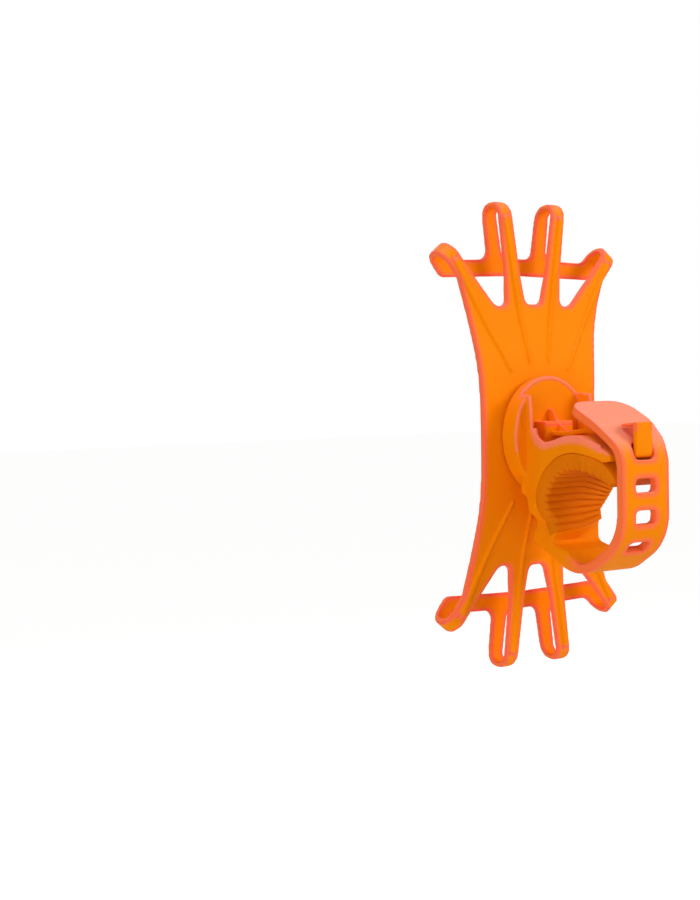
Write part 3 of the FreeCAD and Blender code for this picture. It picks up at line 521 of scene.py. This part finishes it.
def soften(piece, voxel_mm, passes, keep=1.0):
    """An even skin laid exactly on the piece, then smoothed so that its edges are round."""
    target = bpy.data.objects.new("plain", piece.data.copy())
    bpy.context.collection.objects.link(target)
    apply_modifier(piece, "REMESH", mode="VOXEL", voxel_size=voxel_mm * mm, use_smooth_shade=True)
    apply_modifier(piece, "SHRINKWRAP", target=target, wrap_method="NEAREST_SURFACEPOINT")
    bpy.data.objects.remove(target)
    apply_modifier(piece, "SMOOTH", factor=smoothing, iterations=passes)
    if keep < 1.0:
        apply_modifier(piece, "DECIMATE", ratio=keep)
    print(piece.name, len(piece.data.polygons), "faces after softening")


# %% [markdown]
# The silicone's thin edges get a painted pink highlight. How near a point is to an edge is worked out
# here from the plain part, and the finish reads it.

# %% How near each point is to an edge
corner_turn = math.radians(40)      # a corner of the plain part turns by at least this
point_step_mm = 0.25                # between the points along a corner
full_share = 0.25                   # this share of a rim's reach is tinted fully


def sharp_points(node, wanted):
    """Points along the plain part's outer corners, where a test of the place (mm) lets them be."""
    shape = bmesh.new()
    shape.from_mesh(nodes[node].data)
    bmesh.ops.remove_doubles(shape, verts=shape.verts, dist=join_mm * mm)
    points = []
    for edge in shape.edges:
        if len(edge.link_faces) != 2 or edge.calc_face_angle_signed() < corner_turn:
            continue
        start, end = (vertex.co for vertex in edge.verts)
        count = max(1, int(edge.calc_length() / (point_step_mm * mm)))
        points += [place for place in (start.lerp(end, number / count) for number in range(count + 1))
                   if wanted(*(place / mm))]
    shape.free()
    return points


def along(path_mm):
    """Points spread along a path."""
    points = []
    for start, end in zip(path_mm, path_mm[1:]):
        start, end = Vector(start), Vector(end)
        count = max(1, int((end - start).length / point_step_mm))
        points += [start.lerp(end, number / count) * mm for number in range(count + 1)]
    return points


def mark_rims(piece, rims, fade=None):
    """Writes on every vertex 1 at a corner, falling to 0 at a distance. Each rim is its corner
    points and its reach in mm; fade weakens the result by place (mm)."""
    trees = []
    for points, reach in rims:
        tree = KDTree(len(points))
        for number, point in enumerate(points):
            tree.insert(point, number)
        tree.balance()
        trees.append((tree, reach))
    # each point's share of the painted pink rim highlight
    rim = piece.data.attributes.new("rim", "FLOAT", "POINT")
    for number, vertex in enumerate(piece.data.vertices):
        share = clamp(max((reach - tree.find(vertex.co)[2] / mm) / ((1 - full_share) * reach)
                          for tree, reach in trees))
        share = share * share * (3 - 2 * share)
        rim.data[number].value = share * fade(*(vertex.co / mm)) if fade else share
    print(piece.name, [len(points) for points, _ in rims], "corner points")


# %% New meshes from points
def mesh_object(name, points_mm, faces, material=None):
    """An object from points in millimetres of the frame and faces, its normals turned outward."""
    mesh = bpy.data.meshes.new(name)
    mesh.from_pydata([Vector(point) * mm for point in points_mm], [], faces)
    shape = bmesh.new()
    shape.from_mesh(mesh)
    bmesh.ops.recalc_face_normals(shape, faces=shape.faces)
    shape.to_mesh(mesh)
    shape.free()
    for face in mesh.polygons:
        face.use_smooth = True
    piece = bpy.data.objects.new(name, mesh)
    bpy.context.collection.objects.link(piece)
    if material:
        mesh.materials.append(material)
    return piece


def sweep(name, sections, material=None):
    """A closed skin over a run of closed sections that have equally many points each."""
    count = len(sections[0])
    points = [point for section in sections for point in section]
    faces = []
    for i in range(len(sections) - 1):
        this, after = i * count, (i + 1) * count
        faces += [(this + j, this + (j + 1) % count, after + (j + 1) % count, after + j)
                  for j in range(count)]
    faces += [tuple(range(count)), tuple(range(len(points) - count, len(points)))]
    return mesh_object(name, points, faces, material)


def prism(name, side_mm, half_width):
    """A side profile of (y, z) points, as wide as twice the half width."""
    return sweep(name, [[(x, y, z) for y, z in side_mm] for x in (-half_width, half_width)])


def bead(name, path_mm, radius_mm):
    """A round bead with closed ends along a smooth path."""
    curve = bpy.data.curves.new(name, "CURVE")
    curve.dimensions = "3D"
    curve.bevel_depth = radius_mm * mm
    curve.bevel_resolution = 4
    curve.use_fill_caps = True
    curve.resolution_u = 8
    line = curve.splines.new("NURBS")
    line.points.add(len(path_mm) - 1)
    for knot, place in zip(line.points, path_mm):
        knot.co = (*(Vector(place) * mm), 1.0)
    line.order_u = 3
    line.use_endpoint_u = True
    holder = bpy.data.objects.new(name, curve)
    bpy.context.collection.objects.link(holder)
    evaluated = holder.evaluated_get(bpy.context.evaluated_depsgraph_get())
    mesh = bpy.data.meshes.new_from_object(evaluated)
    bpy.data.objects.remove(holder)
    piece = bpy.data.objects.new(name, mesh)
    bpy.context.collection.objects.link(piece)
    return piece


def merge(piece, extras):
    """Joins other objects into a piece; the remesh that follows makes one skin of them."""
    bpy.ops.object.select_all(action="DESELECT")
    for extra in extras:
        extra.select_set(True)
    piece.select_set(True)
    bpy.context.view_layer.objects.active = piece
    bpy.ops.object.join()


cutter_half = 40        # mm, wider than any piece that is cut


def trim(piece, side_mm, operation):
    """Keeps what is inside a side profile (INTERSECT) or outside it (DIFFERENCE)."""
    cutter = prism("cutter", side_mm, cutter_half)
    apply_modifier(piece, "BOOLEAN", object=cutter, operation=operation, solver="EXACT")
    bpy.data.objects.remove(cutter)


# %% [markdown]
# ## The web
# The web is one thin moulding: a waisted sheet, two cross bands, eight loops that stretch, and low ribs
# on its back. Drawn by hand it would take many bridged strips. The plain part already has every opening
# in its place, so a soft copy of it is used. Its outline is found by place, because the ribs behind are
# corners too, and they get no painted pink rim highlight.

# %% The web
web_bow = 2.2                       # mm that the web's ends stand in front of its middle
flat_half, bow_length = 10.0, 28.0  # mm from the hub: flat to here, then bowed over this height
middle_half, middle_height = 17, 33     # mm from the hub: no outline within these
back_slack = 0.3                    # mm behind the back's plain face that still count as its edge
web_rim = 1.35                      # mm: reach of the painted pink rim highlight

web = copy_of("phone_cradle", "web")
soften(web, voxel_mm=0.3, passes=8, keep=0.62)


def web_back(z):
    """Depth of the web's back face at a height, mm of the frame."""
    rise = clamp((abs(z - hub.z / mm) - flat_half) / bow_length)
    return hub.y / mm - web_bow * (2 * rise ** 2 if rise < 0.5 else 1 - 2 * (1 - rise) ** 2)


def on_outline(x, y, z):
    """True at the web's outline and on its loops, not on the raised ribs of its back."""
    in_middle = abs(x) < middle_half and abs(z - hub.z / mm) < middle_height
    return y < web_back(z) + back_slack and not in_middle


# a painted pink highlight along the web's outline
mark_rims(web, [(sharp_points("phone_cradle", on_outline), web_rim)])


# %% [markdown]
# The loops' legs are slimmer than the plain part's. Cutting them again would leave hard edges.
# Pushing their inner faces back along the normals opens each loop and keeps it round.

# %% Slimmer legs on the loops
loop_middle = hub.y / mm - 6.35     # depth halfway between a loop's legs, mm of the frame
leg_face = 2.35                     # mm from there to the face that looks into the loop
leg_reach = 2.75                    # mm from there to the last point that moves
tip_reach = 2.2                     # mm: nearer than this, a point can be on the loop's tip
legs_start, legs_full, tips_start = 40, 46, 50      # mm, heights from the hub
inward_from, inward_over = 0.1, 0.5     # inward look at which a face starts to move; fully after
slimming = 0.55                     # mm
after_passes = 8                    # smooth the ripples that the moves leave


def slim_loops(piece, depth_mm):
    """Moves the faces that look into a loop outward, which opens the loop; tapered toward the web."""
    moves = []
    for vertex in piece.data.vertices:
        _, y, z = vertex.co / mm
        z -= hub.z / mm
        if abs(z) < legs_start or abs(y - loop_middle) > leg_reach:
            continue
        inward = -vertex.normal.y * (y - loop_middle) / leg_face
        if abs(z) > tips_start and abs(y - loop_middle) < tip_reach:
            inward -= vertex.normal.z * math.copysign(1.0, z)
        taper = min(1.0, (abs(z) - legs_start) / (legs_full - legs_start))
        share = taper * clamp((inward - inward_from) / inward_over)
        moves.append((vertex.index, vertex.normal * (-share * depth_mm * mm)))
    for index, move in moves:
        piece.data.vertices[index].co += move


slim_loops(web, slimming)
apply_modifier(web, "SMOOTH", factor=smoothing, iterations=after_passes)
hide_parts("phone_cradle")
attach(web, "cradle")

# %% [markdown]
# Forty thin raised rays run out from the button over the web's front. Each one is a half-round
# strip that follows the bowed face, found by looking straight at it from just in front.

# %% The rays on the front
ray_count = 40
ray_start, ray_limit = 11.0, 46.0   # mm from the hub
ray_step = 0.8                      # mm between sections
ray_half = 0.36                     # mm, half its width
ray_height = 0.30                   # mm
ray_end, ray_gain = 0.25, 0.4       # share of the height at its ends, and what each step adds
probe_y, probe_reach = hub.y / mm - 7.0, 6          # mm: depth where a probe starts, and how far
facing_forward = 0.8                # the least part of a face's normal that points along Y
probes = [(0, 0), (1.2, 0), (0, 0.7), (0, -0.7)]    # outward and beside: all must find the web
ray_profile = [(-1.0, -0.35), (-0.75, 0.45), (-0.3, 0.93), (0.3, 0.93), (0.75, 0.45), (1.0, -0.35)]

plain_web = nodes["phone_cradle"].data
web_tree = BVHTree.FromPolygons([vertex.co for vertex in plain_web.vertices],
                                [face.vertices for face in plain_web.polygons])


def web_front(x, z):
    """Depth of the web's front face at a place, or None beside the web; hub coordinates, mm."""
    at = Vector((x, probe_y, z + hub.z / mm)) * mm
    place, normal, _, _ = web_tree.ray_cast(at, (0, 1, 0), probe_reach * mm)
    return place.y / mm if place and abs(normal.y) > facing_forward else None


def ray_sections(turn):
    """Cross sections of one ray, from the smooth ring outward to just short of an edge."""
    out, beside = (math.cos(turn), math.sin(turn)), (-math.sin(turn), math.cos(turn))
    reach, stations = ray_start, []
    while reach < ray_limit:
        x, z = out[0] * reach, out[1] * reach
        near = [web_front(x + out[0] * a + beside[0] * b, z + out[1] * a + beside[1] * b)
                for a, b in probes]
        if None in near:
            break
        stations.append((x, z, near[0]))
        reach += ray_step
    sections = []
    for number, (x, z, depth) in enumerate(stations):
        to_end = len(stations) - 1 - number
        rise = ray_height * min(1.0, ray_end + number * ray_gain, ray_end + to_end * ray_gain)
        sections.append([(x + beside[0] * ray_half * u, depth - rise * v,
                          z + beside[1] * ray_half * u + hub.z / mm) for u, v in ray_profile])
    return sections


turns = [2 * math.pi * number / ray_count for number in range(ray_count)]
rays = [sweep("ray", ray_sections(turn), ray_highlight_silicone) for turn in turns]
merge(rays[0], rays[1:])
rays[0].name = "front_rays"
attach(rays[0], "cradle")
print("front rays", len(rays[0].data.polygons), "faces")

# %% [markdown]
# ## The seat
# The seat's side walls end in a round ridge that dips beside the core and climbs over the
# handlebar. The lowest part, the heel, belongs to the strap's piece, because the two are one
# moulding and the strap bends out of it.

# %% The seat
waist_half, heel_half = 10.6, 8.3   # mm
widening, widening_from, widening_over = 1.4, -20.1, 7.5    # behind the cup: how much, from, over
narrowing, narrowing_from, narrowing_over = 3.6, 3.5, 7.1   # towards the nose, the same
corner_height, corner_across, corner_radius = 5.2, 1.55, 10.5   # the round lower corners' arc


def seat_half(y, z):
    """Half width of the seat at a place of the side view, mm about the handlebar's axis."""
    plan = (waist_half + widening * clamp((y - widening_from) / widening_over)
            - narrowing * clamp((y - narrowing_from) / narrowing_over))
    drop = corner_height - z
    if drop <= 0:
        return plan
    arc = corner_across + math.sqrt(max(0.0, corner_radius ** 2 - drop ** 2))
    return min(plan, max(heel_half, arc))


ridge_radius, ridge_sunk, ridge_inside = 0.75, 0.35, 0.9    # mm, mm, share of its radius
ridge_side = [(-16.6, 21.8), (-16.1, 20.2), (-14.6, 18.6), (-11.6, 17.6), (-8.4, 18.2),
              (-5.2, 19.0), (-1.5, 19.45), (2.0, 19.35), (5.2, 18.6), (7.6, 17.2)]
ridge_rim, wall_rim = 1.8, 0.75     # mm: reaches of the painted pink rim highlight
wall_bottom, wall_front = 15.5, -21.5               # mm: where the walls' rear edges lie
cup_bottom, cup_front = 29.0, -24.5                 # mm: where the cup's top edge lies
bore_edge = 16.5                    # mm from the axis: nearer is the liner's bed, which has no painted rim highlight
heel_cut = [(-30, -6.0), (0, -6.0), (0, -30), (-30, -30)]
heel_keep = [(-30, -4.8), (0, -4.8), (0, -30), (-30, -30)]

heel = copy_of("seat_body", "heel")
trim(heel, heel_keep, "INTERSECT")
seat = copy_of("seat_body", "seat")
trim(seat, heel_cut, "DIFFERENCE")
ridge_lines = [[(side * (seat_half(y, z) - ridge_radius * ridge_inside), y, z - ridge_sunk)
                for y, z in ridge_side] for side in (-1, 1)]
merge(seat, [bead("ridge", line, ridge_radius) for line in ridge_lines])
soften(seat, voxel_mm=0.29, passes=4)


def wall_or_cup(x, y, z):
    """True on the walls' rear edges and on the top of the cup's rim."""
    front = cup_front if z > cup_bottom else wall_front
    return z > wall_bottom and y > front and math.hypot(y, z) > bore_edge


# a painted pink highlight along the ridge, the walls' rear edges and the cup's rim
mark_rims(seat, [([point for line in ridge_lines for point in along(line)], ridge_rim),
                 (sharp_points("seat_body", wall_or_cup), wall_rim)])
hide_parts("seat_body")
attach(seat, "seat")

# %% [markdown]
# The liner is rubbery and fluted: round ribs side by side lie along the handlebar, between a
# smooth chamfer at each end. Away from the middle they draw together a little on one side.
# Straight grooves cut in a ring couldn't do that, so sections swept round the axis make it.

# %% The fluted liner
bore, liner_outside, liner_middle = 11.15, 15.6, 13.4       # radii, mm
liner_start = 38.0                  # degrees about the handlebar, from the rear
flute_first, flute_middle, flute_last = 44.0, 176.0, 206.9  # degrees
flute_pitch, flute_phase = 9.7, 168.15                      # degrees
flute_depth = 0.7                   # mm
flute_curve = 0.7                   # below 1, the ribs are flatter on top
plain_depth = 0.35                  # share of that depth where there are no flutes
fan = 0.047                         # how fast the ribs draw together, per mm
chamfer_reach, chamfer_rise, chamfer_curve = 0.9, 1.0, 1.2  # mm, mm, and above 1 it is rounded
fade_near, fade_far = 0.45, 2.6     # mm from each end over which the flutes run out
tip_from, tip_slope = 58.0, 20.0    # degrees: thins from here to its tip, and so many per mm
outer_edge = [(0, 0.5), (0.12, 0.15), (0.5, 0)]     # mm in from the side, and below the outside
columns, liner_steps = 64, 300


def spread(x):
    """How far the ribs keep apart at a place across; they draw together on one side only."""
    return 1.0 if x > 0 else 1.0 + fan * x


def liner_end(x):
    """The angle at which the liner runs out into the heel."""
    return flute_middle + (flute_last - flute_middle) * spread(x)


def flute(turn, x):
    """How deep the liner's face lies under its ribs' tops at an angle and a place across."""
    turn = flute_middle + (turn - flute_middle) / spread(x)
    if turn < flute_first:
        return flute_depth * plain_depth
    share = ((turn - flute_phase) / flute_pitch) % 1.0
    return flute_depth * (1.0 - math.sin(math.pi * share) ** flute_curve)


def around(x, turn, reach):
    """A point at an angle (degrees) and a radius about the handlebar's axis."""
    return x, reach * math.cos(math.radians(turn)), reach * math.sin(math.radians(turn))


def liner_section(share):
    """One closed section of the liner, a share of the way from its rear tip to the heel."""
    def turn_at(x):
        return liner_start + (liner_end(x) - liner_start) * share

    _, y, z = around(0, turn_at(0), liner_middle)
    half = seat_half(y, z)
    section = []
    for number in range(columns + 1):
        x = half * (2 * number / columns - 1)
        edge = max(0.0, 1.0 - (half - abs(x)) / chamfer_reach)
        relief = flute(turn_at(x), x) * min(1.0, (half - abs(x)) / (fade_near if x > 0 else fade_far))
        section.append(around(x, turn_at(x), bore + relief + chamfer_rise * edge ** chamfer_curve))
    outer = [(half - inset, drop) for inset, drop in outer_edge]
    for x, drop in outer + [(-x, drop) for x, drop in reversed(outer)]:
        thinner = max(0.0, tip_from - turn_at(x)) / tip_slope
        section.append(around(x, turn_at(x), liner_outside - drop - thinner))
    return section


liner_shares = [number / liner_steps for number in range(liner_steps + 1)]
liner = sweep("liner", [liner_section(share) for share in liner_shares], liner_shaded_silicone)
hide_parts("grip_pad")
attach(liner, "seat")
print("liner", len(liner.data.polygons), "faces")

# %% [markdown]
# ## The strap
# The strap grows out of the heel in one smooth sweep. The lower piece holds both. The upper piece
# follows the strap alone; it is cut off between two slots, where nothing bends, so that its end over the
# seat moves too.

# %% The strap with the heel
def split_above(piece, name, level_mm):
    """Cuts a piece at a level; what is above becomes a second object, and both are closed there."""
    upper = piece.copy()
    upper.data = piece.data.copy()
    upper.name = name
    bpy.context.collection.objects.link(upper)
    for part in (piece, upper):
        shape = bmesh.new()
        shape.from_mesh(part.data)
        cut = bmesh.ops.bisect_plane(shape, geom=shape.verts[:] + shape.edges[:] + shape.faces[:],
                                     plane_co=(0, 0, level_mm * mm), plane_no=(0, 0, 1),
                                     clear_outer=part is piece, clear_inner=part is upper)
        border = [item for item in cut["geom_cut"] if isinstance(item, bmesh.types.BMEdge)]
        for edge in border:
            edge.smooth = False
        bmesh.ops.holes_fill(shape, edges=border)
        shape.to_mesh(part.data)
        shape.free()
    print(name, len(upper.data.polygons), "faces, and", len(piece.data.polygons), "left below")
    return upper


root_half = 8.2                     # mm
root_sunk, root_dish = 0.35, 1.3    # mm under the liner's ribs: in the middle, and more at the sides
root_columns = 17
strap_rim, strap_rim_from = 1.9, -9.0   # mm: reach, and the depth from which there is a painted rim highlight
fade_from, fade_over = -8.5, 6.0    # mm: below the axis the painted rim highlight fades in from here, over this
strap_cut = 3.2                     # mm, a height between two slots


def root_section(x):
    """The heel's inner side at a place across: from the liner's last rib down into the strap."""
    reach = bore + root_sunk + root_dish * (abs(x) / root_half) ** 3
    _, y, z = around(x, liner_end(x), reach)
    side = [(-14.2, z + 1.0), (y, z), (max(-12.9, y - 1.6), z - 2.0), (-12.7, -8.0), (-11.8, -9.1),
            (-7.7, -10.2), (-3.4, -13.1), (-4.6, -14.6), (-8.4, -14.0), (-14.4, -11.6), (-20.4, -8.6),
            (-19.0, -7.6), (-15.0, -7.6)]
    return [(x, y, z) for y, z in side]


strap = copy_of("bar_strap", "strap")
root_places = [root_half * (number / (root_columns // 2) - 1) for number in range(root_columns)]
merge(strap, [heel, sweep("root", [root_section(x) for x in root_places])])
soften(strap, voxel_mm=0.25, passes=6)
# a painted pink highlight along the strap's edges behind a depth, faded in below the axis
mark_rims(strap, [(sharp_points("bar_strap", lambda x, y, z: y > strap_rim_from), strap_rim)],
          lambda x, y, z: clamp((y - fade_from) / fade_over) if z < 0 else 1.0)
strap_loop = split_above(strap, "strap_loop", strap_cut)
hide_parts("bar_strap")
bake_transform(strap)
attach(strap_loop, "strap")

# %% [markdown]
# ## The hook and the core
# Both are hard plastic in the silicone's colour, so their edges are rounded less. The hook is the
# upturned end of a strip that runs from the core over the saddle; it holds a slot of the strap.

# %% The hook
hook_rim, hook_rim_from = 0.8, 21.5     # mm: reach, and the height from which there is a painted rim highlight

hook = copy_of("hook_arm", "hook")
soften(hook, voxel_mm=0.2, passes=3)
# a painted pink highlight along the hook's upper edges
mark_rims(hook, [(sharp_points("hook_arm", lambda x, y, z: z > hook_rim_from), hook_rim)])
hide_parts("hook_arm")
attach(hook, "seat")

# %% [markdown]
# The core's boss gets a smooth closed face at its rear, and a thin curved fin stands on it.

# %% The core
cap_side = [(-19.55, 15.2), (-18.8, 15.2), (-18.8, 22.6), (-19.55, 22.6)]
fin_edge = [(-22.7, 26.4), (-21.3, 26.0), (-20.2, 24.2), (-19.0, 22.9), (-17.6, 21.8),
            (-16.0, 21.0), (-13.9, 20.7)]
fin_side = [(-22.7, 22.5)] + fin_edge + [(-13.9, 19.9), (-20.0, 19.9)]
cap_half, fin_half = 4.4, 0.33
core_rim, boss_top, boss_from = 0.7, 22.0, hub.y / mm + 4.2     # mm: reach of the painted rim highlight, height, depth

core = copy_of("swivel_core", "core")
merge(core, [prism("cap", cap_side, cap_half), prism("fin", fin_side, fin_half)])
soften(core, voxel_mm=0.2, passes=2)
# a painted pink highlight along the boss's rear edges and the fin
boss_edge = sharp_points("swivel_core", lambda x, y, z: y > boss_from and z > boss_top)
mark_rims(core, [(boss_edge + along([(0, y, z) for y, z in fin_edge]), core_rim)])
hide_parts("swivel_core")
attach(core, "seat")

# %% [markdown]
# ## Close
# The view transform stays plain, so that colours come out as they are written.

# %% The view transform
bpy.context.scene.view_settings.view_transform = "Standard"
